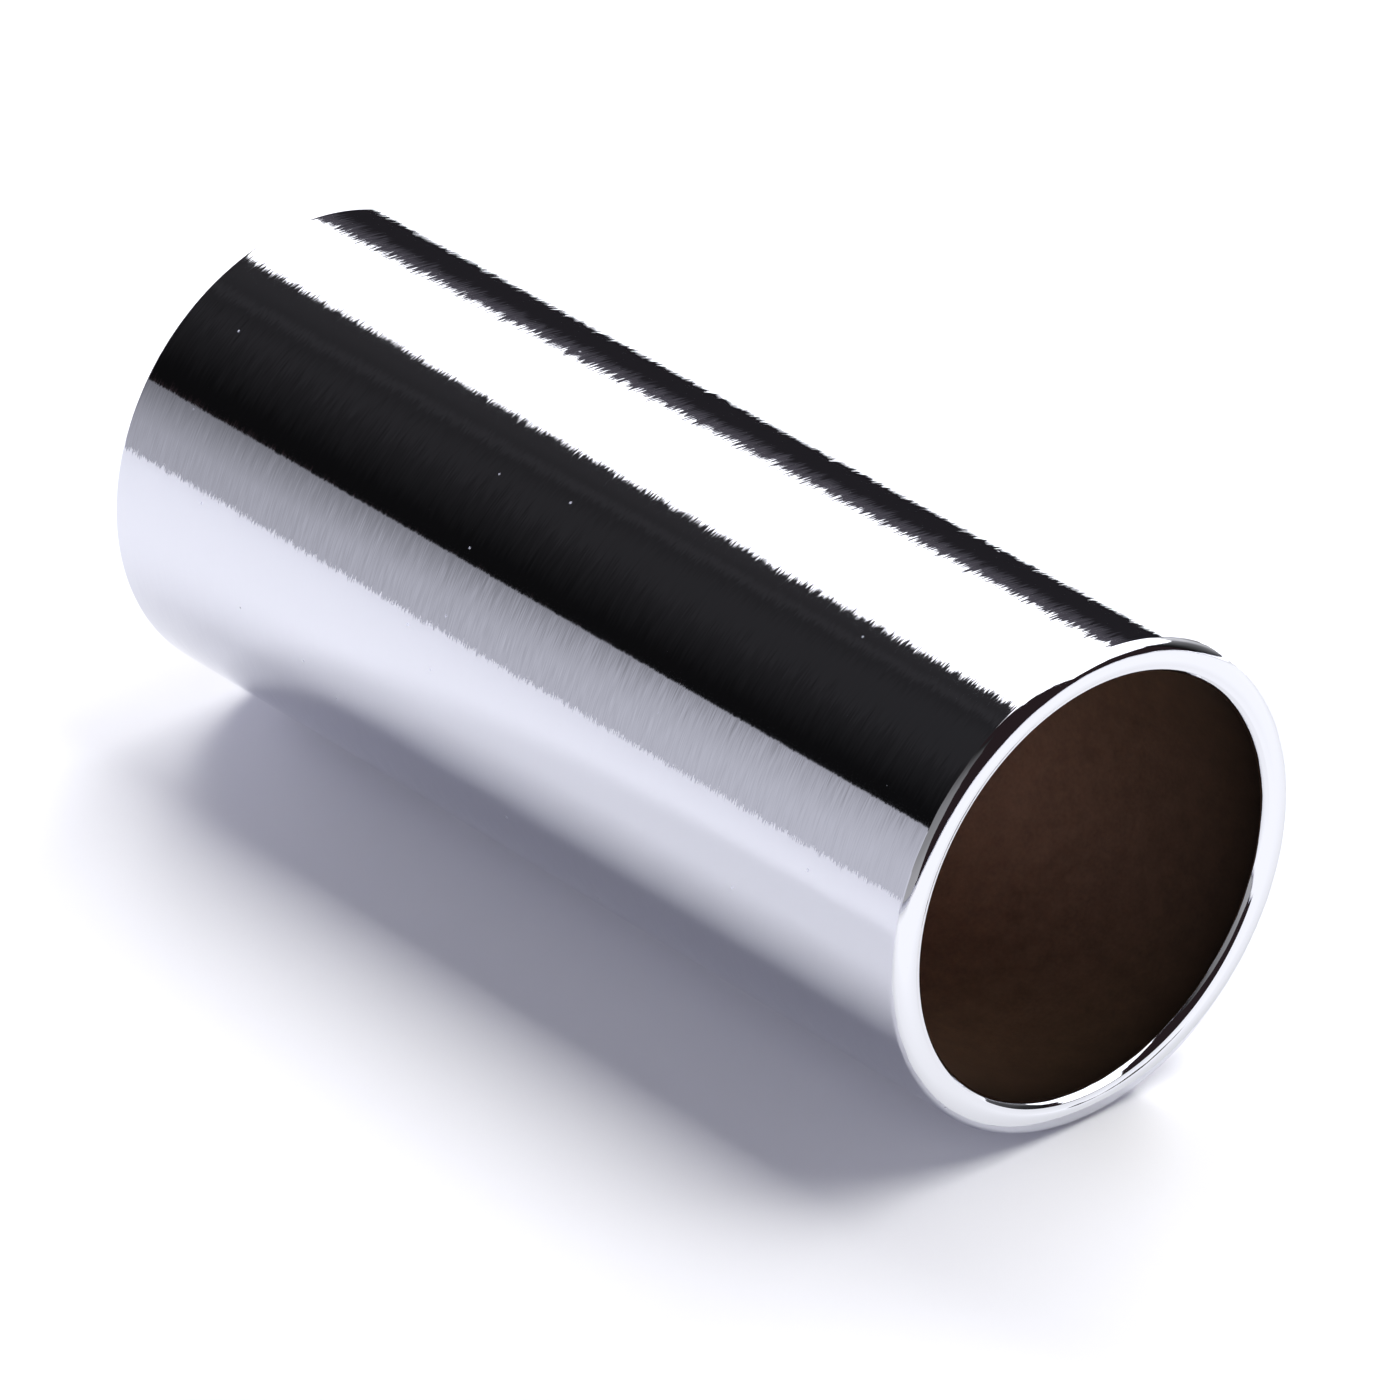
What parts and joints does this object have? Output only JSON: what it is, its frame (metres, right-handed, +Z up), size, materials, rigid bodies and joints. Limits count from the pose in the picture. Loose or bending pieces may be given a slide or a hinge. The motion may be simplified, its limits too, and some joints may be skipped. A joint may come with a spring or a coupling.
{
  "type": "guitar slide",
  "caption": "Polished chromed steel tube worn on a finger to play slide guitar, with a plain cut end and a smoothly rounded mouth.",
  "frame": {"origin": "on the surface that the slide lies on, under the middle of its length", "axes": "+X along the tube towards the rounded mouth, +Z up, with the slide lying on its side"},
  "size_m": [0.0594, 0.0254, 0.0254],
  "materials": {
    "chromed_steel": "bright chrome plate outside, polished with very fine lines round the tube; the bore is left dull and dark brown"
  },
  "bodies": {
    "root": {"slide_tube": "chromed_steel"}
  },
  "joints": []
}
